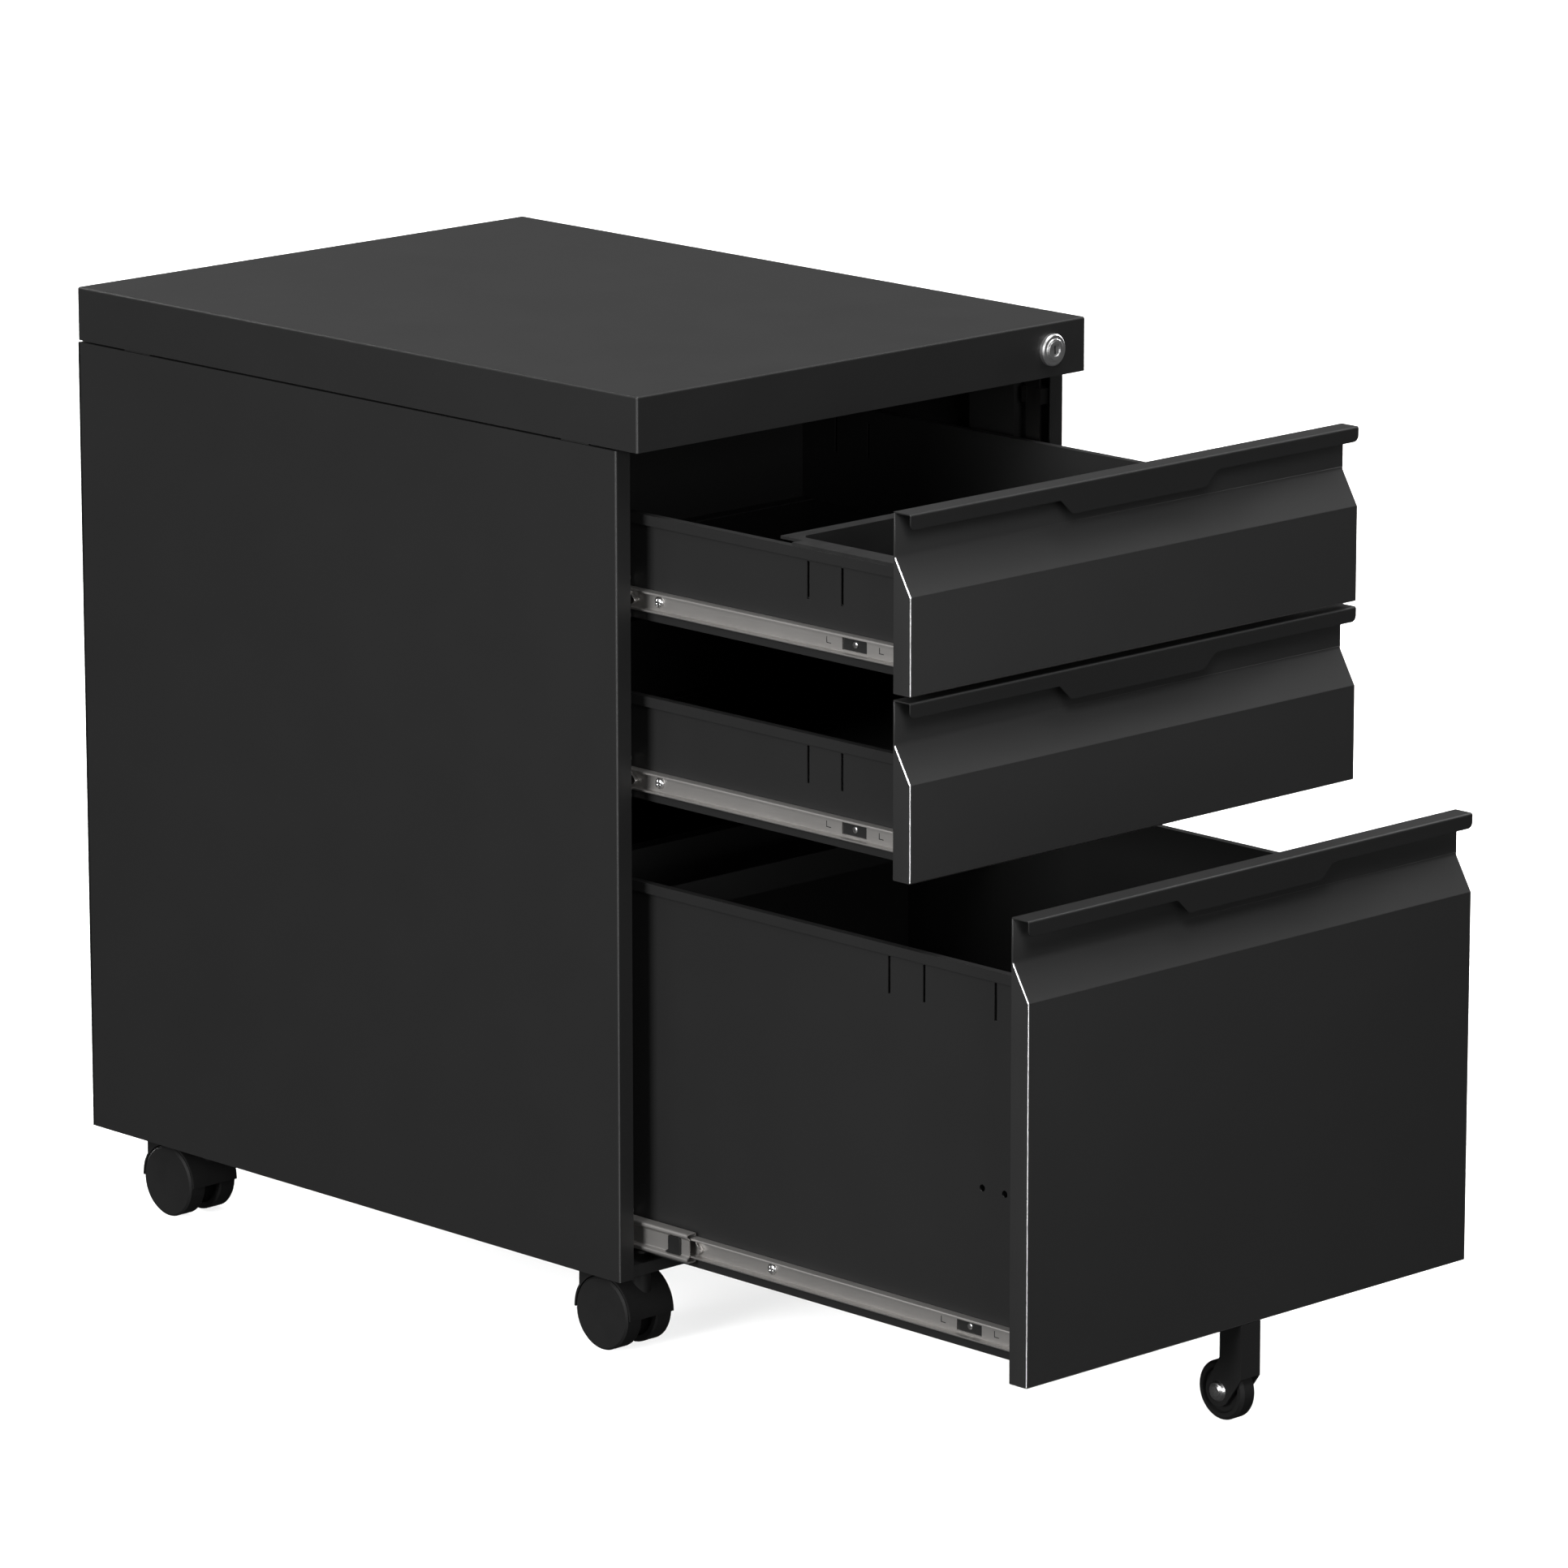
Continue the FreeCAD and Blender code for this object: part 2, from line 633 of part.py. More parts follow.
def make_pen_tray(front_y, base):
    """Moulded pen tray: a rim that rests on the drawer's rims, and a well with low dividers."""
    body = new_body("pen_tray")
    wall = D["pen_wall"]
    rim = [
        (-D["pen_half"], D["pen_front"]), (D["pen_half"], D["pen_front"]),
        (D["pen_half"], D["pen_step"]), (D["pen_neck"], D["pen_step"]),
        (D["pen_neck"], D["pen_rear"]), (-D["pen_neck"], D["pen_rear"]),
        (-D["pen_neck"], D["pen_step"]), (-D["pen_half"], D["pen_step"]),
    ]
    well = D["pen_well"]
    start = D["pen_front"] + 7
    end = D["pen_rear"] - 10.5
    tub = rectangle(-well - wall, start - wall, well + wall, end + wall)
    rim_top = D["pen_rim"]
    pad(body, sketch(body, "XY", [tub], offset=rim_top), D["pen_deep"] + rim_top, back=True)
    round_edges(body, 7, lambda mid, run: along(run, 2))
    hollow(body, wall, lambda face: near(face.CenterOfMass.z, rim_top))
    side = well + wall / 2
    cut = 3.4
    hole = [
        (-side + cut, start - wall / 2), (side - cut, start - wall / 2),
        (side, start - wall / 2 + cut), (side, end + wall / 2 - cut),
        (side - cut, end + wall / 2), (-side + cut, end + wall / 2),
        (-side, end + wall / 2 - cut), (-side, start - wall / 2 + cut),
    ]
    pad(body, sketch(body, "XY", [rim, hole]), rim_top)
    ribs = [
        rectangle(-well, end - 48, well, end - 48 + wall),
        rectangle(-well / 3, end - 48 + wall, -well / 3 + wall, end),
        rectangle(well / 3, end - 48 + wall, well / 3 + wall, end),
    ]
    for rib in ribs:
        pad(body, sketch(body, "XY", [rib], offset=-D["pen_deep"] + wall), 18)
    place(body, y=front_y, z=base + D["box_lift"] + D["small_deep"])


def make_file_rails(front_y, base):
    """Two rails across the deep drawer, from which files hang."""
    body = new_body("file_rails")
    half = HALF - D["box_inset"] - D["box_gauge"]
    high = D["large_deep"] - D["slot_high"] - 3
    low = D["large_deep"] - D["slot_low"] + 3
    gauge = 1.2
    for spot in FILE_RAIL_SPOTS:
        bar = rectangle(-half, low, half, high)
        pad(body, sketch(body, "XZ", [bar], offset=-(spot + gauge / 2)), gauge)
    place(body, y=front_y, z=base + D["box_lift"])


# ---- lock ----------------------------------------------------------------------------------


def make_lock_barrel():
    """Lock housing with a raised ring on its flange."""
    body = new_body("lock_barrel")
    bore = D["lock_bore"]
    profile = [
        (bore, -20), (D["lock_body"], -20), (D["lock_body"], -D["cover_gauge"]),
        (D["lock_body"], 0), (D["lock_flange"], 0), (D["lock_flange"], 2.3),
        (D["lock_flange"] - 0.9, 3.2), (bore + 1.5, 3.2), (bore + 1, 3.7), (bore, 3.7),
    ]
    revolve(body, sketch(body, "XY", [profile]), "V_Axis")
    place(body, x=LOCK_X, z=LOCK_Z, turn=(V(0, 0, 1), 180))


def make_lock_core():
    """Turning core with a raised rim and a keyway across its face."""
    body = new_body("lock_core")
    radius = D["lock_bore"] - D["lock_play"]
    disc = sketch(body, "XZ", circles=[(0, 0, radius)], offset=4.2)
    pad(body, disc, 26.2, back=True)
    pocket(body, sketch(body, "XZ", circles=[(0, 0, radius - 1.8)], offset=4.2), 0.7)
    keyway = rectangle(-0.8, -2.8, 0.8, 2.8)
    pocket(body, sketch(body, "XZ", [keyway], offset=4.2), 14)
    place(body, x=LOCK_X, z=LOCK_Z)


def make_lock_cam():
    """Cam behind the core, with the pin that moves the bar."""
    body = new_body("lock_cam")
    spot = D["cam_reach"] * math.sqrt(0.5)
    bend = 3.6
    arm = [(-bend, bend), (bend, -bend), (spot + bend / 2, spot - bend / 2),
           (spot - bend / 2, spot + bend / 2)]
    pad(body, sketch(body, "XZ", [arm], offset=-22), 2, back=True)
    pad(body, sketch(body, "XZ", circles=[(0, 0, D["lock_bore"] - 0.5)], offset=-22), 2, back=True)
    pad(body, sketch(body, "XZ", circles=[(spot, spot, 2.5)], offset=-22), 2, back=True)
    pad(body, sketch(body, "XZ", circles=[(spot, spot, 1.5)], offset=-24), 4.5, back=True)
    place(body, x=LOCK_X, z=LOCK_Z)


def make_lock_bar(studs):
    """Vertical bar on the right, with a slotted head for the cam pin and a hook per drawer."""
    body = new_body("lock_bar")
    face = HALF - D["bar_side"]
    spot = D["cam_reach"] * math.sqrt(0.5)
    front = D["bar_front"]
    head_top = LOCK_Z + 10.5
    strip = rectangle(face - D["bar_gauge"], front, face, front + D["bar_wide"])
    pad(body, sketch(body, "XY", [strip], offset=D["bar_foot"]), head_top - D["bar_foot"])
    head = rectangle(LOCK_X + spot - 5, LOCK_Z - 2.5, face - D["bar_gauge"], head_top)
    pad(body, sketch(body, "XZ", [head], offset=-front), D["bar_gauge"], back=True)
    slot = rectangle(LOCK_X + spot - 2.2, LOCK_Z + spot - 2.1, LOCK_X + D["cam_reach"] + 2.2,
                     LOCK_Z + spot + 2.1)
    pocket(body, sketch(body, "XZ", [slot], offset=-front), 3)
    for level in studs:
        middle = level + HOOK_TRAVEL
        hook = rectangle(face - D["bar_gauge"] - 7, middle - 4, face - D["bar_gauge"], middle + 4)
        pad(body, sketch(body, "XZ", [hook], offset=-front), D["bar_gauge"], back=True)
    place(body)


def make_bar_guides():
    """Two clips on the right side panel that hold the lock bar and let it slide."""
    body = new_body("lock_bar_guides")
    face = HALF - D["bar_side"]
    wall = HALF - D["gauge"]
    back_face = face + 0.4
    tip = face - D["bar_gauge"] - 0.4
    low = D["bar_front"] - 0.4
    high = D["bar_front"] + D["bar_wide"] + 0.4
    clip = [
        (wall, low - 2), (tip - 1, low - 2), (tip - 1, low + 2.5), (tip, low + 2.5), (tip, low),
        (back_face, low), (back_face, high), (tip, high), (tip, high - 2.5), (tip - 1, high - 2.5),
        (tip - 1, high + 2), (wall, high + 2),
    ]
    for level in (330, 560):
        pad(body, sketch(body, "XY", [clip], offset=level), 10)
    place(body)


# ---- castors -------------------------------------------------------------------------------


def make_castor(name, side, spot):
    """Hood, axle and twin wheels of one castor."""
    x = side_x(side, D["castor_side"])
    trail = D["castor_trail"]
    hub = D["wheel_round"]
    hood = new_body(name + "_hood")
    inside = D["wheel_round"] + D["hood_gap"]
    outside = inside + D["hood_gauge"]
    arch = sketch(hood, "YZ", circles=[(trail, hub, outside)])
    pad(hood, arch, 2 * D["hood_half"], both=True)
    tail = rectangle(trail + 4, hub + 12, trail + outside - 1.8, 52)
    pad(hood, sketch(hood, "YZ", [tail]), 2 * D["hood_half"] - 5, both=True)
    pad(hood, sketch(hood, "XY", circles=[(0, 0, 6.4)], offset=hub + 14), 60.6 - 14 - hub)
    for s in (-1, 1):
        room = sketch(hood, "YZ", circles=[(trail, hub, inside)], offset=s * 3)
        pocket(hood, room, D["hood_half"], back=s > 0)
    skirt = rectangle(trail - outside - 1, -5, trail + outside + 1, hub - 0.5)
    pocket(hood, sketch(hood, "YZ", [skirt]), 2 * D["hood_half"] + 2, both=True)
    web = sketch(hood, "YZ", circles=[(trail, hub, 10)])
    pad(hood, web, 6, both=True)
    bearing = D["stem_round"] + D["play"]
    pocket(hood, sketch(hood, "XY", circles=[(0, 0, bearing)], offset=61), 15.5)
    pocket(hood, sketch(hood, "YZ", circles=[(trail, hub, D["axle_round"])]), 40, both=True)
    axle = new_body(name + "_axle")
    pin_sketch = sketch(axle, "YZ", circles=[(trail, hub, D["axle_round"])])
    pad(axle, pin_sketch, 2 * D["wheel_outer"] - 5, both=True)
    wheels = new_body(name + "_wheels")
    bore = D["axle_round"] + D["play"]
    face = D["wheel_outer"]
    inner = D["wheel_inner"]
    profile = [
        (bore, inner - 2.2), (7.5, inner - 2.2), (7.5, inner + 4), (hub - 4, inner + 4),
        (hub - 4, inner), (hub - 1, inner), (hub, inner + 1), (hub, face - 1.3),
        (hub - 1.3, face), (0, face), (0, face - 2), (bore, face - 2),
    ]
    turned = revolve(wheels, sketch(wheels, "XZ", [[(b, a) for a, b in profile]]), "H_Axis")
    mirror_x(wheels, turned)
    place(hood, x=x, y=spot)
    place(axle, x=x, y=spot)
    place(wheels, x=x, y=spot + trail, z=hub)


def make_castor_stems():
    """Four stems, each with a collar under the bottom panel and a riveted head above it."""
    body = new_body("castor_stems")
    top = D["pan_top"]
    spots = [(side_x(side, D["castor_side"]), y)
             for side in (-1, 1) for y in (D["castor_front"], D["castor_rear"])]
    under = top - D["gauge"]
    steps = [
        # radius, bottom and length of each step
        (D["stem_round"], 46, top - 46 + 0.5),
        (9, under - 2, 2),
        (7.5, top, 1.8),
    ]
    for radius, low, length in steps:
        rings = [(x, y, radius) for x, y in spots]
        pad(body, sketch(body, "XY", circles=rings, offset=low), length)
    place(body)


# ---- anti-tip wheel ------------------------------------------------------------------------


def make_anti_tip(front_y, base):
    """Fork, axle and wheel under the deep drawer's front."""
    axle_z = D["tip_round"] + D["tip_lift"] - base
    back = D["tip_back"]
    wall = D["fork_gauge"]
    fork = new_body("anti_tip_fork")
    cheek = [(0, 0), (0, axle_z + 11), (back - 8, axle_z - 5.5), (back + 8.4, axle_z + 4.8),
             (D["fork_deep"], axle_z + 22), (D["fork_deep"], 0)]
    pad(fork, sketch(fork, "YZ", [cheek]), D["fork_wide"], both=True)
    pad(fork, sketch(fork, "YZ", circles=[(back, axle_z, 9.7)]), D["fork_wide"], both=True)
    inside = rectangle(wall, axle_z - 12, back + 12, -wall)
    pocket(fork, sketch(fork, "YZ", [inside]), D["fork_wide"] - 2 * wall, both=True)
    window = rectangle(-1, axle_z - 12, wall + 1, axle_z + 11)
    pocket(fork, sketch(fork, "YZ", [window]), D["fork_wide"] - 2 * wall, both=True)
    axle = new_body("anti_tip_axle")
    head = D["fork_wide"] / 2
    pivot = D["axle_round"]
    profile = [(0, -head - 2.6), (3.2, -head - 2.4), (5.4, -head - 1.5), (6.6, -head),
               (pivot, -head), (pivot, head), (6.6, head), (5.4, head + 1.5), (3.2, head + 2.4),
               (0, head + 2.6)]
    revolve(axle, sketch(axle, "XZ", [[(b, a) for a, b in profile]]), "H_Axis")
    pocket(fork, sketch(fork, "YZ", circles=[(back, axle_z, pivot)]), 40, both=True)
    wheel = new_body("anti_tip_wheel")
    tyre = D["tip_round"]
    half = D["tip_wide"] / 2
    bore = pivot + D["play"]
    section = [(bore, -half), (6, -half), (6, -half + 2), (13.5, -half + 2), (14.5, -half),
               (tyre - 2, -half), (tyre, -half + 2), (tyre, half - 2), (tyre - 2, half),
               (14.5, half), (13.5, half - 2), (6, half - 2), (6, half), (bore, half)]
    revolve(wheel, sketch(wheel, "XZ", [[(b, a) for a, b in section]]), "H_Axis")
    place(fork, y=front_y, z=base)
    for item in (axle, wheel):
        place(item, y=front_y + back, z=base + axle_z)


# ---- assembly ------------------------------------------------------------------------------

FILE_RAIL_SPOTS = (40, 372)
REAR_SLOTS = [400, 430]

make_cover()
make_side_panel("side_panel_left", -1)
make_side_panel("side_panel_right", 1)
make_back_panel()
make_bottom_panel()
make_cross_rail("cross_rail_front", D["rail_inset"])
make_cross_rail("cross_rail_rear", D["cab_depth"] - D["rail_inset"] - D["rail_wide"])
make_uprights("uprights_left", -1)
make_uprights("uprights_right", 1)

DRAWERS = [
    # name, lower edge, front height, box height, opening, slide height, middle member out,
    # slot positions, hole positions, stud height above the lower edge
    ("drawer_top", D["base_top"], D["small_high"], D["small_deep"], D["open_small"],
     D["slide_small"], 0, [88, 117.2], [], 40),
    ("drawer_middle", D["base_mid"], D["small_high"], D["small_deep"], D["open_small"],
     D["slide_small"], 0, [88, 117.2], [], 40),
    ("drawer_deep", D["base_low"], D["large_high"], D["large_deep"], D["open_large"],
     D["slide_large"], D["carry_large"], [56.6, 116.8, 146.5], [(48.3, 137.1), (67.1, 137.1)], 205),
]
for name, base, high, deep, opening, axis, drawn, slots, holes, stud in DRAWERS:
    y = -opening
    level = base + axis
    make_outer_slides(name + "_outer_slides", level)
    make_middle_slides(name + "_middle_slides", level, drawn)
    make_retainers(name + "_retainers", level, drawn)
    for word, side in (("left", -1), ("right", 1)):
        make_inner_slide(f"{name}_inner_slide_{word}", side, y, level)
    make_front(name + "_front", y, base, high)
    make_box(name + "_box", y, base, deep, slots + REAR_SLOTS, holes)
    make_box_back(name + "_back", y, base, deep)
    make_fasteners(name + "_fasteners", y, level, base + stud)

make_pen_tray(-D["open_small"], D["base_top"])
make_file_rails(-D["open_large"], D["base_low"])
make_lock_barrel()
make_lock_core()
make_lock_cam()
make_lock_bar([base + stud for _n, base, _h, _d, _o, _a, _c, _s, _r, stud in DRAWERS])
make_bar_guides()
for word, side in (("left", -1), ("right", 1)):
    for place_word, spot in (("front", D["castor_front"]), ("rear", D["castor_rear"])):
        make_castor(f"castor_{place_word}_{word}", side, spot)
make_castor_stems()
make_anti_tip(-D["open_large"], D["base_low"])

doc.recompute()
for item in doc.Objects:
    if "Invalid" in item.State or "Error" in item.State:
        raise RuntimeError(f"{item.Label} did not recompute: {item.State}")
os.makedirs("parts", exist_ok=True)
for node in NODES:
    if node.Shape.isNull() or not node.Shape.isValid() or not node.Shape.Solids:
        raise RuntimeError(f"{node.Label} has no sound solid")
    node.Shape.exportStep(f"parts/{node.Label}.step")
print(len(NODES), "sub-parts written")
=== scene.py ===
"""Looks of a steel pedestal cabinet on castors: finishes, rolled and pressed detail, light and camera."""
import json
import math

import bmesh
import bpy
from mathutils import Matrix, Vector


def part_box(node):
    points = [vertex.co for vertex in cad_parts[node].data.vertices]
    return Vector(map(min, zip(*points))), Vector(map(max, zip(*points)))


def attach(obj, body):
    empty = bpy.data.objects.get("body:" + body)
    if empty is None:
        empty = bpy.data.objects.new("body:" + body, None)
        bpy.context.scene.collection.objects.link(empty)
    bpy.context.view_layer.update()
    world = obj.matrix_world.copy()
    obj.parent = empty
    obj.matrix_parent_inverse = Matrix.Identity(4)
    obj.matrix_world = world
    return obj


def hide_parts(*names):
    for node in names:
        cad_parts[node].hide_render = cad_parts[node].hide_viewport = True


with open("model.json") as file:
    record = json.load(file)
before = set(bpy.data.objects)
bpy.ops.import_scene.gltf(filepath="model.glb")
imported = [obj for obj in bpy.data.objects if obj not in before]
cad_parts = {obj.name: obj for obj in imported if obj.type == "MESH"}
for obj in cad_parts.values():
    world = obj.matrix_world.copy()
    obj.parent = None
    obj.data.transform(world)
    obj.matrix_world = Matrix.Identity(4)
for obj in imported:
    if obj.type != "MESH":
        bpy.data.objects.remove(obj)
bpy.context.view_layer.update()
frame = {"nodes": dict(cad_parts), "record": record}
MM = 0.001
NODES = frame["nodes"]


# ---- materials -------------------------------------------------------------------------------

NOISE_LOW = 0.3  # nearly all of a noise texture's values lie between these
NOISE_HIGH = 0.7


class Finish:
    """A node material built up from a Principled shader."""

    def __init__(self, name, **shader_values):
        self.material = bpy.data.materials.new(name)
        self.material.use_nodes = True
        self.tree = self.material.node_tree
        self.shader = self.tree.nodes["Principled BSDF"]
        for socket, value in shader_values.items():
            self.shader.inputs[socket.replace("_", " ")].default_value = value
        self.place = self.add("ShaderNodeTexCoord").outputs["Object"]

    def add(self, kind):
        return self.tree.nodes.new(kind)

    def link(self, start, end):
        self.tree.links.new(start, end)

    def stretched(self, scale):
        """Object coordinates, stretched by a scale for each axis."""
        mapping = self.add("ShaderNodeMapping")
        mapping.inputs["Scale"].default_value = scale
        self.link(self.place, mapping.inputs["Vector"])
        return mapping.outputs["Vector"]

    def noise(self, size, detail=2.0, stretch=None):
        """Noise whose features are about this many millimetres across."""
        item = self.add("ShaderNodeTexNoise")
        item.inputs["Scale"].default_value = 1 / (size * MM)
        item.inputs["Detail"].default_value = detail
        self.link(self.stretched(stretch) if stretch else self.place, item.inputs["Vector"])
        return item.outputs["Fac"]

    def tint(self, value, dark, light):
        """Base colour that runs between two colours over a value's middle range."""
        ramp = self.add("ShaderNodeValToRGB")
        ramp.color_ramp.elements[0].position = NOISE_LOW
        ramp.color_ramp.elements[1].position = NOISE_HIGH
        ramp.color_ramp.elements[0].color = (*dark, 1)
        ramp.color_ramp.elements[1].color = (*light, 1)
        self.link(value, ramp.inputs["Fac"])
        self.link(ramp.outputs["Color"], self.shader.inputs["Base Color"])

    def rough(self, value, low, high):
        """Roughness that runs between two numbers over a value's middle range."""
        item = self.add("ShaderNodeMapRange")
        spans = (("From Min", NOISE_LOW), ("From Max", NOISE_HIGH), ("To Min", low), ("To Max", high))
        for name, number in spans:
            item.inputs[name].default_value = number
        self.link(value, item.inputs["Value"])
        self.link(item.outputs["Result"], self.shader.inputs["Roughness"])

    def bumps(self, *layers):
        """Stacked bumps: (height value, depth in millimetres, strength)."""
        normal = None
        for value, depth, strength in layers:
            bump = self.add("ShaderNodeBump")
            bump.inputs["Distance"].default_value = depth * MM
            bump.inputs["Strength"].default_value = strength
            self.link(value, bump.inputs["Height"])
            if normal:
                self.link(normal, bump.inputs["Normal"])
            normal = bump.outputs["Normal"]
        self.link(normal, self.shader.inputs["Normal"])


def grey(value, warmth=0.0):
    """A near-neutral colour."""
    return (value * (1 + warmth), value, value * (1 - warmth))


def powder_coat(name, shade):
    """Satin powder coat: fine grain, a slight orange peel and faint handling marks."""
    coat = Finish(name, Specular_IOR_Level=0.4)
    cloud = coat.noise(140, 3)
    coat.tint(cloud, grey(shade * 0.975), grey(shade * 1.025))
    coat.rough(coat.noise(45, 4), 0.428, 0.452)
    coat.bumps((coat.noise(0.8, 3), 0.012, 0.5), (coat.noise(4.5, 1), 0.02, 0.35))
    return coat.material


def plated_steel(name, shade, roughness, warmth=0.02):
    """Rolled steel with bright plating and fine streaks along the slides."""
    steel = Finish(name, Metallic=1.0)
    streak = steel.noise(0.5, 2, (1, 0.03, 1))
    cloud = steel.noise(40, 2)
    steel.tint(cloud, grey(shade * 0.97, warmth), grey(shade * 1.03, warmth))
    steel.rough(streak, roughness - 0.012, roughness + 0.015)
    steel.bumps((streak, 0.0012, 0.2), (steel.noise(16, 1), 0.008, 0.15))
    return steel.material


def polished(name, shade, roughness):
    """Chromed metal with hairline scuffs."""
    chrome = Finish(name, Metallic=1.0)
    scuff = chrome.noise(0.5, 4, (1, 1, 0.15))
    chrome.tint(chrome.noise(5, 2), grey(shade * 0.94), grey(shade))
    chrome.rough(scuff, roughness, roughness + 0.1)
    chrome.bumps((scuff, 0.004, 0.3))
    return chrome.material


def moulded(name, shade, roughness, gloss=0.4):
    """Injection-moulded plastic with a spark-eroded grain."""
    plastic = Finish(name, Specular_IOR_Level=gloss)
    plastic.tint(plastic.noise(30, 3), grey(shade * 0.9), grey(shade * 1.1))
    plastic.rough(plastic.noise(9, 4), roughness - 0.04, roughness + 0.05)
    plastic.bumps((plastic.noise(0.6, 2), 0.02, 0.5), (plastic.noise(12, 1), 0.03, 0.2))
    return plastic.material


LOOKS = {
    "cover_paint": powder_coat("cover_paint", 0.0125),
    "body_paint": powder_coat("body_paint", 0.0125),
    "front_paint": powder_coat("front_paint", 0.0120),
    "box_paint": powder_coat("box_paint", 0.0125),
    # painted highlight: bright metal for the bevelled folds, standing in for light glinting on the edges
    "fold_highlight_metal": polished("fold_highlight_metal", 0.36, 0.26),
    "slide_zinc": plated_steel("slide_zinc", 0.46, 0.5, warmth=0.03),
    "lock_chrome": polished("lock_chrome", 0.75, 0.32),
    "fastener_steel": polished("fastener_steel", 0.62, 0.24),
    "tray_plastic": moulded("tray_plastic", 0.0150, 0.42),
    "slide_plastic": moulded("slide_plastic", 0.0100, 0.45),
    "castor_plastic": moulded("castor_plastic", 0.0085, 0.6, gloss=0.22),
    "wheel_plastic": moulded("wheel_plastic", 0.0100, 0.6, gloss=0.22),
    "black_steel": plated_steel("black_steel", 0.045, 0.5),
}


def dress(item, look):
    """Give a piece one finish all over."""
    item.data.materials.clear()
    item.data.materials.append(LOOKS[look])
    for face in item.data.polygons:
        face.material_index = 0


# ---- CAD pieces that stay ----------------------------------------------------------------------


def soften(item, width, angle=32):
    """Round off the edges where faces meet at more than an angle in degrees."""
    bevel = item.modifiers.new("edges", "BEVEL")
    bevel.width = width * MM
    bevel.segments = 2
    bevel.limit_method = "ANGLE"
    bevel.angle_limit = math.radians(angle)
    bevel.harden_normals = True


def paint_fold_highlight(item):
    """Painted highlight: brighter polished metal on every rounded edge of a sheet piece, standing in for
    the glints of light along the folds.
    """
    item.data.materials.append(LOOKS["fold_highlight_metal"])
    item.modifiers["edges"].material = 1


EDGE_WIDTHS = {  # edge rounding in millimetres, by the end of the node's name
    "_hood": 0.8, "_wheels": 0.6, "_wheel": 0.8, "_tray": 0.7, "_barrel": 0.45, "_core": 0.25,
    "_cover": 0.55, "panel_left": 0.55, "panel_right": 0.55,
}
THIN_EDGE = 0.3


def edge_width(node):
    for ending, width in EDGE_WIDTHS.items():
        if node.endswith(ending):
            return width
    return THIN_EDGE


for entry in frame["record"]["subparts"]:
    node_object = NODES[entry["node"]]
    dress(node_object, entry["material_slot"])
    soften(node_object, edge_width(entry["node"]))

# painted highlight on the rounded folds of the outer sheets
for node_name in ("side_panel_left", "side_panel_right", "top_cover"):
    paint_fold_highlight(NODES[node_name])


# ---- shared shapes -----------------------------------------------------------------------------


def new_piece(name, shape, body, look, replaced=()):
    """A piece from a mesh in millimetres that rides on a body and may stand for CAD nodes."""
    bmesh.ops.scale(shape, vec=(MM, MM, MM), verts=shape.verts)
    mesh = bpy.data.meshes.new(name)
    shape.to_mesh(mesh)
    shape.free()
    mesh.shade_smooth()
    piece = bpy.data.objects.new(name, mesh)
    bpy.context.scene.collection.objects.link(piece)
    dress(piece, look)
    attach(piece, body)
    if replaced:
        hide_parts(*replaced)
    return piece


def rounded(points, radii, steps=6):
    """An open run of 2D points whose inner corners are turned into arcs."""
    run = [Vector(points[0])]
    for i, radius in enumerate(radii, 1):
        corner = Vector(points[i])
        back = (Vector(points[i - 1]) - corner).normalized()
        on = (Vector(points[i + 1]) - corner).normalized()
        half = back.angle(on) / 2
        centre = corner + (back + on).normalized() * (radius / math.sin(half))
        first = corner + back * (radius / math.tan(half)) - centre
        last = corner + on * (radius / math.tan(half)) - centre
        swing = first.angle_signed(last)
        for step in range(steps + 1):
            turn = Matrix.Rotation(-swing * step / steps, 2)
            run.append(centre + turn @ first)
    run.append(Vector(points[-1]))
    return run


def sweep(shape, rows):
    """Quads between rows of equally many points; returns the rows' vertices."""
    made = [[shape.verts.new(point) for point in row] for row in rows]
    for low, high in zip(made, made[1:]):
        for i in range(len(low) - 1):
            shape.faces.new((low[i], low[i + 1], high[i + 1], high[i]))
    return made


def face_out(shape):
    bmesh.ops.recalc_face_normals(shape, faces=shape.faces)


def thicken(piece, thickness):
    """Give a skin its sheet's thickness, inwards from the modelled face."""
    sheet = piece.modifiers.new("sheet", "SOLIDIFY")
    sheet.thickness = thickness * MM
    sheet.offset = -1
    sheet.use_even_offset = True


def even_normals(piece):
    """Flat faces shade flat beside their rounded edges."""
    normals = piece.modifiers.new("normals", "WEIGHTED_NORMAL")
    normals.weight = 100
    normals.keep_sharp = True


def corners(node):
    """A node's box in millimetres, as (low, high)."""
    return [Vector(corner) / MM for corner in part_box(node)]


# ---- drawer fronts -----------------------------------------------------------------------------

PULL_BACK = 13.0  # depth of the pull recess, in millimetres
PULL_DROP = 27.7  # drops are measured down from the front's top edge
BEVEL_DROP = 50.0
LIP_DROP = 9.5
TAB_DROP = 19.0
TAB_TOP = 68.25  # half widths of the tab, where it leaves the lip and at its lower edge
TAB_LOW = 58.0
FRONT_GAUGE = 0.9
FOLD = 1.5  # radius of the fold over the lip


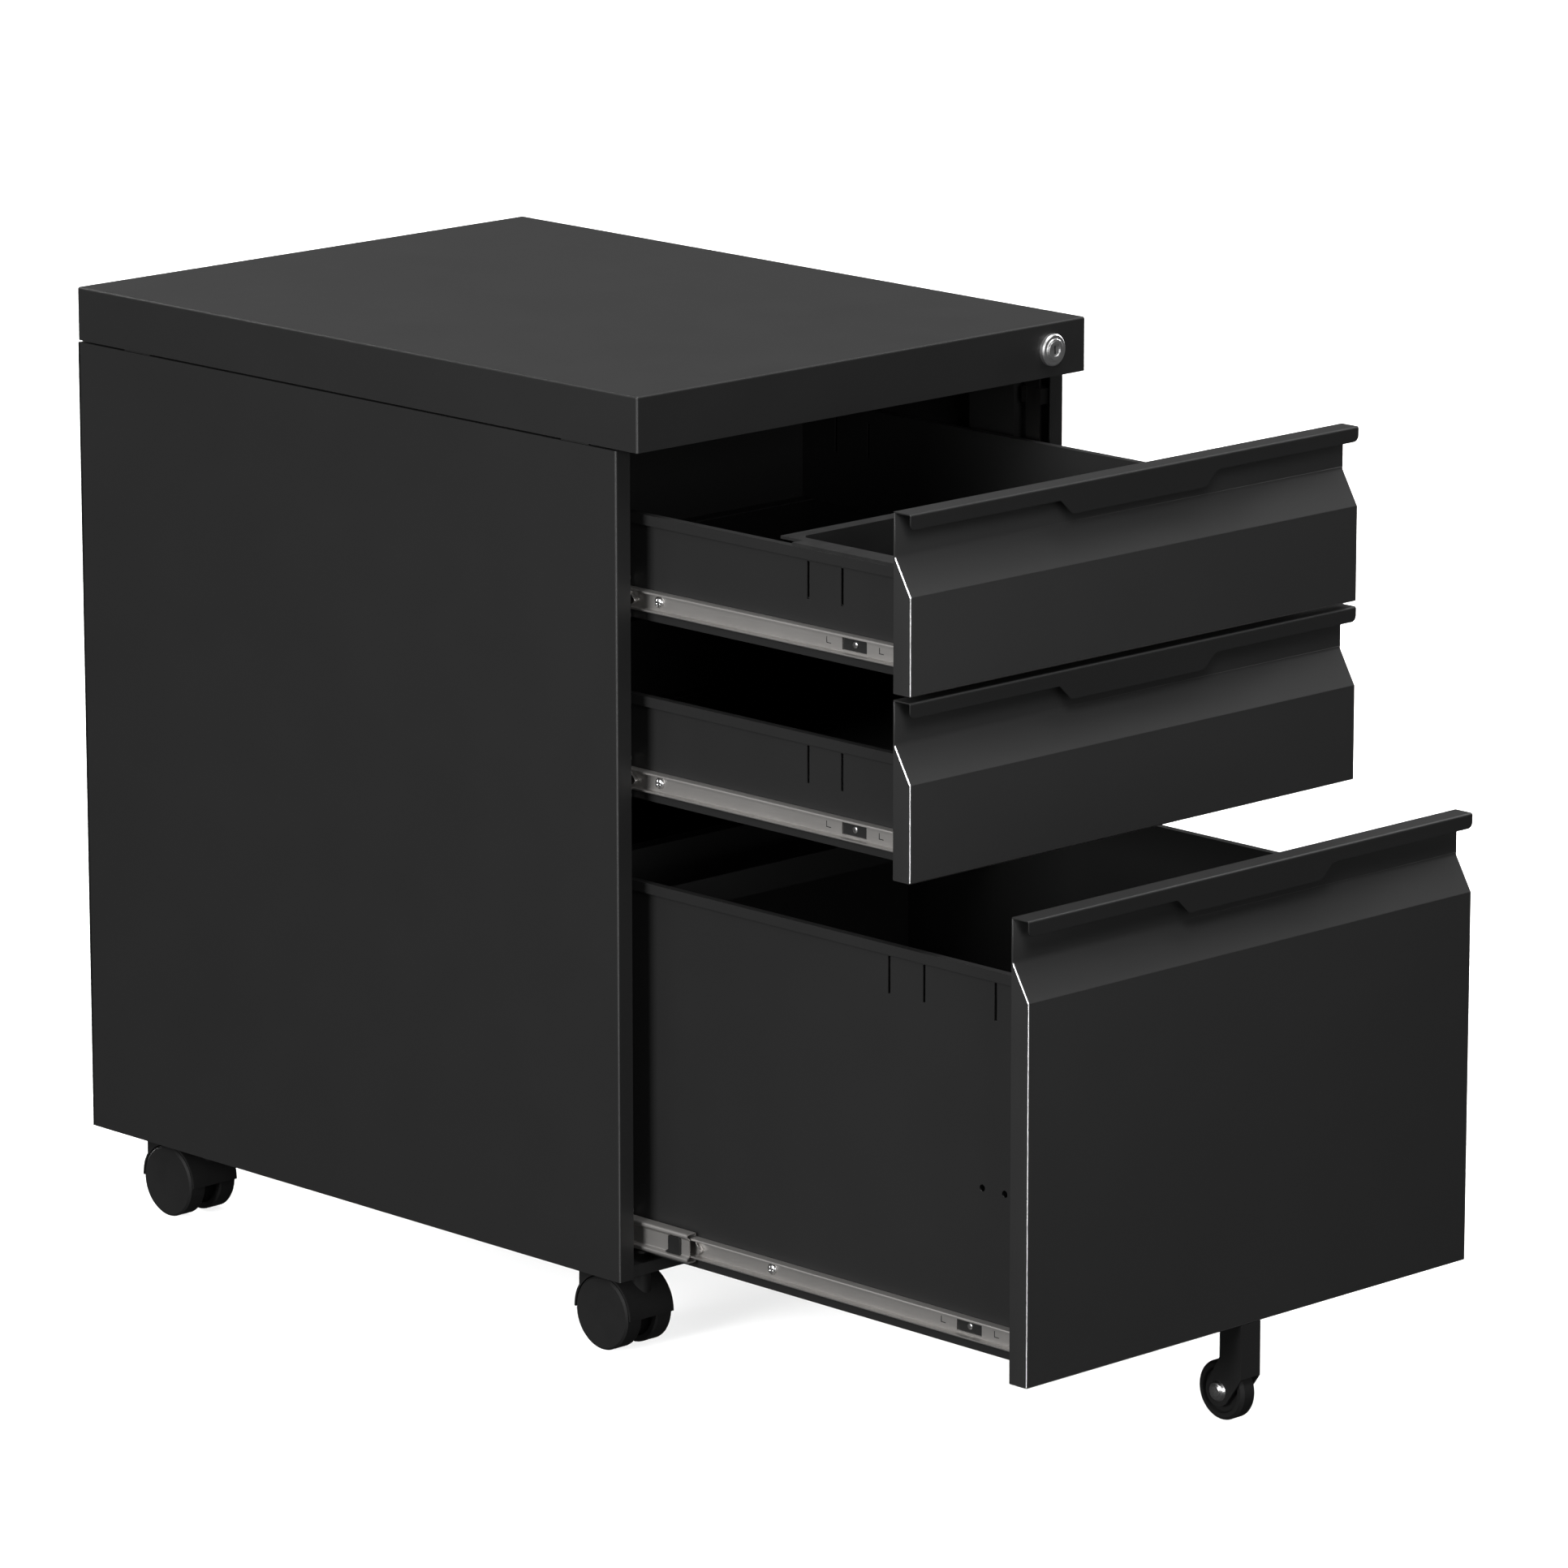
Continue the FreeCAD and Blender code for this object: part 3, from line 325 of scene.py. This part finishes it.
def front_skin(drawer):
    """Folded skin of a drawer front, open at its back, with a soft swept-in pull."""
    node = f"drawer_{drawer}_front"
    low, high = corners(node)
    top = high.z - FRONT_GAUGE
    side = rounded(
        [(high.y, low.z), (low.y, low.z), (low.y, high.z - BEVEL_DROP),
         (low.y + PULL_BACK, high.z - PULL_DROP), (low.y + PULL_BACK, top)],
        [0.01, 1.3, 6], steps=8)
    shape = bmesh.new()
    rows = sweep(shape, [[(x, y, z) for y, z in side] for x in (low.x, high.x)])
    for row in rows:
        back = shape.verts.new((row[0].co.x, high.y, top))
        shape.faces.new([*row, back])
    bmesh.ops.remove_doubles(shape, verts=shape.verts, dist=0.05)
    face_out(shape)
    folds = shape.edges.layers.float.new("bevel_weight_edge")
    for edge in shape.edges:
        below_pull = max(vert.co.z for vert in edge.verts) < high.z - PULL_DROP + 0.5
        if not edge.is_boundary and edge.calc_face_angle() > math.radians(40):
            edge[folds] = below_pull
            edge.smooth = below_pull
    piece = new_piece(f"{node}_skin", shape, f"drawer_{drawer}", "front_paint", [node])
    soften(piece, 0.85)
    piece.modifiers["edges"].limit_method = "WEIGHT"
    piece.modifiers["edges"].segments = 4
    piece.modifiers["edges"].harden_normals = False
    piece.modifiers["edges"].use_clamp_overlap = False
    # painted highlight on the skin's rounded folds
    paint_fold_highlight(piece)
    thicken(piece, FRONT_GAUGE)
    even_normals(piece)
    return piece


def pull_lip(drawer):
    """Turned-down lip of the pull, with its deeper tab in the middle."""
    node = f"drawer_{drawer}_front"
    low, high = corners(node)
    edge = high.z - LIP_DROP
    tab = high.z - TAB_DROP
    outline = rounded(
        [(low.x, high.z - FOLD), (low.x, edge), (-TAB_TOP, edge), (-TAB_LOW, tab), (TAB_LOW, tab),
         (TAB_TOP, edge), (high.x, edge), (high.x, high.z - FOLD)],
        [4, 3, 3, 3, 3, 4])
    shape = bmesh.new()
    plate = shape.faces.new([shape.verts.new((x, low.y, z)) for x, z in outline])
    fold = rounded([(low.y, high.z - FOLD), (low.y, high.z), (high.y, high.z)], [FOLD - 0.01], steps=5)
    sweep(shape, [[(x, y, z) for y, z in fold] for x in (low.x, high.x)])
    bmesh.ops.remove_doubles(shape, verts=shape.verts, dist=0.02)
    shape.normal_update()
    if plate.normal.y > 0:
        plate.normal_flip()
    for face in shape.faces:
        if face is not plate and (face.normal.z < 0 or face.normal.y > 0.01):
            face.normal_flip()
    piece = new_piece(f"drawer_{drawer}_pull_lip", shape, f"drawer_{drawer}", "front_paint")
    thicken(piece, FRONT_GAUGE)
    soften(piece, 0.18, 50)
    piece.modifiers["edges"].harden_normals = False
    even_normals(piece)


# ---- slides ------------------------------------------------------------------------------------

SLIDE_OUT = 175.0  # outer face of the middle member, from the cabinet's middle
SLIDE_IN = 167.0  # its leg ends
MIDDLE_HALF = 9.5  # half its height
MIDDLE_WEB = 172.8  # outer face of its sunk web
SHEET = 0.8
SLIDE_SETBACK = 16  # front end of the drawer members, behind the front face
INNER_FACE = 166.0  # outer face of the drawer members
LEVER_HALF = 4.6  # half the lever's height
LEVER_SWELL = 3.2  # how far the lever bows forward, and its S on top of that
LEVER_CURL = 1.4
LEVER_GAP = 1.6  # from the middle member's front end
LEVER_PLATE = ((166.2, -0.4), (168.8, -0.4), (168.8, 0.4), (166.2, 0.4), (166.2, -0.4))
STOP_PROUD = 1.7
MARK_SPOTS = (53.5, 98.5)  # lance marks, behind the front face
MARK_HALF = 1.7
MARK_LINE = 0.22  # half the width of a mark's line


def middle_slides(drawer):
    """Rolled middle members, left and right: a sunk web between two rounded ball races."""
    node = f"drawer_{drawer}_middle_slides"
    low, high = corners(node)
    level = (low.z + high.z) / 2
    half = [(MIDDLE_WEB, 0), (MIDDLE_WEB, 5.3), (SLIDE_OUT, 6.7), (SLIDE_OUT, MIDDLE_HALF),
            (SLIDE_IN, MIDDLE_HALF), (SLIDE_IN, 7.4)]
    upper = rounded(half, [0.8, 0.8, 1.6, 0.9], steps=5)
    section = [(x, -z) for x, z in reversed(upper)] + [(x, z) for x, z in upper[1:]]
    shape = bmesh.new()
    for side in (-1, 1):
        sweep(shape, [[(side * x, y, level + z) for x, z in section] for y in (low.y, high.y)])
    shape.normal_update()
    for side in (-1, 1):
        skin = [face for face in shape.faces if face.calc_center_median().x * side > 0]
        web = min(skin, key=lambda face: abs(face.calc_center_median().z - level))
        if web.normal.x * side < 0:
            bmesh.ops.reverse_faces(shape, faces=skin)
    piece = new_piece(f"{node}_rolled", shape, f"slide_{drawer}", "slide_zinc", [node])
    thicken(piece, SHEET)
    soften(piece, 0.2, 60)
    even_normals(piece)


def slide_stops(drawer):
    """Dark plastic stops in the sunk web, behind the front ends of the middle members."""
    node = f"drawer_{drawer}_retainers"
    low, high = corners(node)
    level = (low.z + high.z) / 2
    start = low.y - 1
    outline = rounded([(start + 4, -5.6), (start, -5.6), (start, 5.6), (start + 10.5, 5.6),
                       (start + 10.5, -3.4), (start + 14, -5.6), (start + 4, -5.6)],
                      [1, 1, 1, 0.8, 0.4], steps=4)
    shape = bmesh.new()
    for side in (-1, 1):
        ring = [shape.verts.new((side * (MIDDLE_WEB - 0.1), y, level + z)) for y, z in outline[:-1]]
        base = shape.faces.new(ring)
        grown = bmesh.ops.extrude_face_region(shape, geom=[base])["geom"]
        tops = [item for item in grown if isinstance(item, bmesh.types.BMVert)]
        bmesh.ops.translate(shape, vec=(side * STOP_PROUD, 0, 0), verts=tops)
    face_out(shape)
    piece = new_piece(f"{node}_moulded", shape, f"slide_{drawer}", "slide_plastic", [node])
    soften(piece, 0.35)


def release_lever(drawer):
    """S-shaped spring lever inside each drawer member, just ahead of the middle member."""
    middle = corners(f"drawer_{drawer}_middle_slides")
    front = middle[0].y
    level = (middle[0].z + middle[1].z) / 2
    path = []
    for t in [i / 24 for i in range(25)]:
        curl = LEVER_SWELL * math.sin(t * math.pi) + LEVER_CURL * math.sin(t * math.tau)
        path.append((front - LEVER_GAP - curl, level + LEVER_HALF * (2 * t - 1)))
    shape = bmesh.new()
    for side in (-1, 1):
        sweep(shape, [[(side * reach, y + push, z) for y, z in path] for reach, push in LEVER_PLATE])
    bmesh.ops.remove_doubles(shape, verts=shape.verts, dist=0.01)
    face_out(shape)
    piece = new_piece(f"drawer_{drawer}_slide_lever", shape, f"drawer_{drawer}", "slide_zinc")
    even_normals(piece)


def lanced_marks(drawer):
    """Small L-shaped lance marks beside the window in the drawer members, drawn as raised strips in the
    dark plastic finish: painted shade standing for the shadow inside the lanced slits.
    """
    low, high = corners(f"drawer_{drawer}_inner_slide_left")
    level = (low.z + high.z) / 2
    shape = bmesh.new()
    for side in (-1, 1):
        for spot in MARK_SPOTS:
            y = low.y - SLIDE_SETBACK + spot
            bend = [(y + MARK_HALF, level + 1.6), (y + MARK_HALF, level - 1.9),
                    (y - MARK_HALF, level - 1.9)]
            for start, end in zip(bend, bend[1:]):
                block = bmesh.ops.create_cube(shape, size=1)["verts"]
                size = (0.3, *(abs(b - a) + 2 * MARK_LINE for a, b in zip(start, end)))
                bmesh.ops.scale(shape, vec=size, verts=block)
                middle = ((start[0] + end[0]) / 2, (start[1] + end[1]) / 2)
                bmesh.ops.translate(shape, vec=(side * (INNER_FACE + 0.05), *middle), verts=block)
    # the dark plastic finish here is painted shade for the slits, not plastic
    piece = new_piece(f"drawer_{drawer}_slide_lance_shade", shape, f"drawer_{drawer}", "slide_plastic")
    soften(piece, 0.05)


# ---- fasteners ---------------------------------------------------------------------------------

SCREW_SPOT = 246.6  # how far behind the front face the screws, rivets and stud are
RIVET_SPOT = 76.5
STUD_SPOT = 31
CROSS_ARM = 0.24  # half the width of a cross recess's arms, for each unit of its reach
CROSS_DEEP = 0.75
CROSS_TURN = 0.4  # of the heads' points, in radians
DOME_RIM = 0.35  # upright part of a domed head


def turned(shape, side, spot, profile, cross=0.0, turns=40):
    """A round part along x from (radius, height) steps, with an optional cross recess."""
    rows = []
    for radius, height in profile:
        row = []
        for i in range(turns + 1):
            angle = math.tau * i / turns + CROSS_TURN
            u = radius * math.cos(angle)
            v = radius * math.sin(angle)
            sunk = 0.0
            long = max(abs(u), abs(v))
            short = min(abs(u), abs(v))
            if long < cross and short < cross * CROSS_ARM:
                sunk = CROSS_DEEP * (1 - long / cross * 0.6)
            row.append((side * (spot[0] + height - sunk), spot[1] + u, spot[2] + v))
        rows.append(row)
    sweep(shape, rows)


def dome(radius, start, height, steps=12):
    """Rounded head profile, from its rim at the seat to the middle of its crown."""
    run = [(radius, start)]
    for i in range(steps + 1):
        angle = math.pi / 2 * i / steps
        crown = (height - DOME_RIM) * math.sin(angle)
        run.append((radius * math.cos(angle), start + DOME_RIM + crown))
    run[-1] = (0.001, run[-1][1])
    return run


def fasteners(drawer):
    """Cross-head slide screws and window rivets on both sides, and the lock stud."""
    node = f"drawer_{drawer}_fasteners"
    slide_low, slide_high = corners(f"drawer_{drawer}_inner_slide_left")
    level = (slide_low.z + slide_high.z) / 2
    front = slide_low.y - SLIDE_SETBACK
    shape = bmesh.new()
    for side in (-1, 1):
        screw = (INNER_FACE, front + SCREW_SPOT, level)
        rivet = (INNER_FACE - 1, front + RIVET_SPOT, level)
        turned(shape, side, screw, dome(3.6, 0, 2.3, 22), cross=2.2, turns=72)
        turned(shape, side, rivet, dome(2.1, 0, 1.0))
    _low, high = corners(node)
    stud = [(3, INNER_FACE - 1 - high.x), (3, -0.6), (2.4, 0), (0.001, 0)]
    turned(shape, 1, (high.x, front + STUD_SPOT, high.z - 3), stud)
    bmesh.ops.remove_doubles(shape, verts=shape.verts, dist=0.002)
    face_out(shape)
    piece = new_piece(f"{node}_formed", shape, f"drawer_{drawer}", "fastener_steel", [node])
    even_normals(piece)


FRONTS = []
for drawer_name in ("top", "middle", "deep"):
    FRONTS.append(front_skin(drawer_name))
    pull_lip(drawer_name)
    middle_slides(drawer_name)
    slide_stops(drawer_name)
    release_lever(drawer_name)
    lanced_marks(drawer_name)
    fasteners(drawer_name)


# ---- stage -------------------------------------------------------------------------------------

AIM = (0, 0, 0.35)  # middle of the cabinet, where the lights point
SOFTBOXES = [
    # name, place, width and height, watts
    ("overhead", (0.2, -1.2, 4.2), (2.4, 2.4), 80),
    ("left", (-4.2, -0.4, 1.6), (1.6, 2.0), 200),
    ("right", (4.2, 0.2, 1.6), (1.6, 2.0), 140),
    ("back", (0.2, 4.6, 1.6), (1.6, 1.6), 190),
    ("front", (-1.7, -4.2, 1.2), (1.6, 1.6), 85),
]
SKY = 0.38
HORIZON = 0.075
GROUND = 0.05


def stage_piece(name, shape, finish):
    """A staged piece that casts no shadow, bounces no light and shows in no reflection."""
    mesh = bpy.data.meshes.new(name)
    shape.to_mesh(mesh)
    shape.free()
    piece = bpy.data.objects.new(name, mesh)
    bpy.context.scene.collection.objects.link(piece)
    finish.bumps((finish.noise(60, 2), 0.05, 0.1))
    mesh.materials.append(finish.material)
    piece.visible_glossy = False
    piece.visible_diffuse = False
    piece.visible_shadow = False
    return piece


FLOOR_HALF = 16  # metres, like the wall
WALL_RADIUS = 15
WALL_HIGH = 14
WALL_SIDES = 96


def make_floor():
    """Plain pale floor, wide enough to fill the view."""
    shape = bmesh.new()
    bmesh.ops.create_grid(shape, x_segments=2, y_segments=2, size=FLOOR_HALF)
    white = Finish("floor_white", Base_Color=(0.92, 0.92, 0.92, 1), Roughness=0.9)
    return stage_piece("floor", shape, white)


def make_backdrop():
    """Round white wall that meets the floor far behind the cabinet, from every side."""
    shape = bmesh.new()
    turns = [i * math.tau / WALL_SIDES for i in range(WALL_SIDES + 1)]
    ring = [(WALL_RADIUS * math.cos(turn), WALL_RADIUS * math.sin(turn)) for turn in turns]
    sweep(shape, [[(x, y, height) for x, y in ring] for height in (-0.05, WALL_HIGH)])
    bmesh.ops.remove_doubles(shape, verts=shape.verts, dist=0.001)
    white = Finish("backdrop_white", Base_Color=(0, 0, 0, 1), Specular_IOR_Level=0.0,
                   Emission_Color=(1, 1, 1, 1), Emission_Strength=1.0)
    stage_piece("backdrop", shape, white)


def softbox(name, place, aim, wide, high, power):
    """Rectangular area light that faces a point."""
    light = bpy.data.lights.new(name, "AREA")
    light.shape = "RECTANGLE"
    light.size = wide
    light.size_y = high
    light.energy = power
    lamp = bpy.data.objects.new(name, light)
    lamp.location = place
    lamp.rotation_euler = (Vector(aim) - Vector(place)).to_track_quat("-Z", "Y").to_euler()
    bpy.context.scene.collection.objects.link(lamp)
    return lamp


def make_world(sky, horizon, ground):
    """Even studio light: brightest overhead, dim at the horizon and below."""
    world = bpy.data.worlds.new("studio")
    world.use_nodes = True
    tree = world.node_tree
    direction = tree.nodes.new("ShaderNodeTexCoord").outputs["Generated"]
    split = tree.nodes.new("ShaderNodeSeparateXYZ")
    ramp = tree.nodes.new("ShaderNodeValToRGB")
    height = tree.nodes.new("ShaderNodeMapRange")
    height.inputs["From Min"].default_value = -1
    tree.links.new(direction, split.inputs["Vector"])
    tree.links.new(split.outputs["Z"], height.inputs["Value"])
    tree.links.new(height.outputs["Result"], ramp.inputs["Fac"])
    ramp.color_ramp.elements[0].position = 0.46
    ramp.color_ramp.elements[0].color = (ground, ground, ground, 1)
    ramp.color_ramp.elements[1].position = 1.0
    ramp.color_ramp.elements[1].color = (sky, sky, sky, 1)
    ramp.color_ramp.elements.new(0.6).color = (horizon, horizon, horizon, 1)
    tree.links.new(ramp.outputs["Color"], tree.nodes["Background"].inputs["Color"])
    bpy.context.scene.world = world


def sunlight(name, energy, spread, tilt):
    """Distant light, tilted from straight down by two angles in degrees."""
    light = bpy.data.lights.new(name, "SUN")
    light.energy = energy
    light.angle = math.radians(spread)
    lamp = bpy.data.objects.new(name, light)
    lamp.rotation_euler = (math.radians(tilt[0]), math.radians(tilt[1]), 0)
    bpy.context.scene.collection.objects.link(lamp)
    return lamp


def light_only(lamp, name, lit):
    """Let a lamp light only these objects."""
    group = bpy.data.collections.new(name)
    for item in lit:
        group.objects.link(item)
    lamp.light_linking.receiver_collection = group


def folds_light(name, place, power, lit):
    """Gloss-only strip that picks out the rounded folds of the sheet steel."""
    lamp = softbox(name, place, AIM, 0.5, 0.8, power)
    lamp.visible_diffuse = False
    lamp.visible_camera = False
    light_only(lamp, name + "_lit", lit)


floor = make_floor()
make_backdrop()
make_world(SKY, HORIZON, GROUND)
for box_name, box_place, box_size, box_power in SOFTBOXES:
    softbox(box_name, box_place, AIM, *box_size, box_power)
sheets = [NODES[name] for name in ("side_panel_left", "side_panel_right", "top_cover", "bottom_panel")]
folds_light("folds_low", (-2.91, -3.01, -0.62), 60, FRONTS + sheets)
folds_light("folds_high", (-3.6, -2.5, 2.4), 45, FRONTS)
near = softbox("near_left", (-0.62, -0.95, 1.0), (-0.2, -0.35, 0.45), 0.3, 0.3, 11)
near.visible_camera = False
light_only(near, "near_left_lit", FRONTS)
sunlight("key", 1.75, 30, (8, 4))
wash = sunlight("floor_wash", 2.7, 5, (0, 0))
wash.data.use_shadow = False
light_only(wash, "floor_wash_lit", [floor])

bpy.context.scene.view_settings.view_transform = "Standard"


# ---- camera ------------------------------------------------------------------------------------

VIEW_AZIMUTH = math.radians(-44.032)  # from straight ahead, round to the cabinet's left
VIEW_HEIGHT = math.radians(13.355)  # above the horizon
VIEW_ROLL = math.radians(-0.044)
VIEW_DISTANCE = 5.5775
VIEW_AIM = Vector((0, -0.0240, 0.3326))
LENS = 202.26


def make_camera():
    """Long lens at the stored viewing angle, with no shift or depth of field."""
    lens = bpy.data.cameras.new("camera")
    lens.lens = LENS
    lens.sensor_width = 36
    lens.clip_end = 60
    camera = bpy.data.objects.new("camera", lens)
    back = Vector((math.sin(VIEW_AZIMUTH) * math.cos(VIEW_HEIGHT),
                   -math.cos(VIEW_AZIMUTH) * math.cos(VIEW_HEIGHT), math.sin(VIEW_HEIGHT)))
    turn = (-back).to_track_quat("-Z", "Y").to_matrix() @ Matrix.Rotation(VIEW_ROLL, 3, "Z")
    camera.matrix_world = Matrix.Translation(VIEW_AIM + back * VIEW_DISTANCE) @ turn.to_4x4()
    bpy.context.scene.collection.objects.link(camera)
    bpy.context.scene.camera = camera


make_camera()
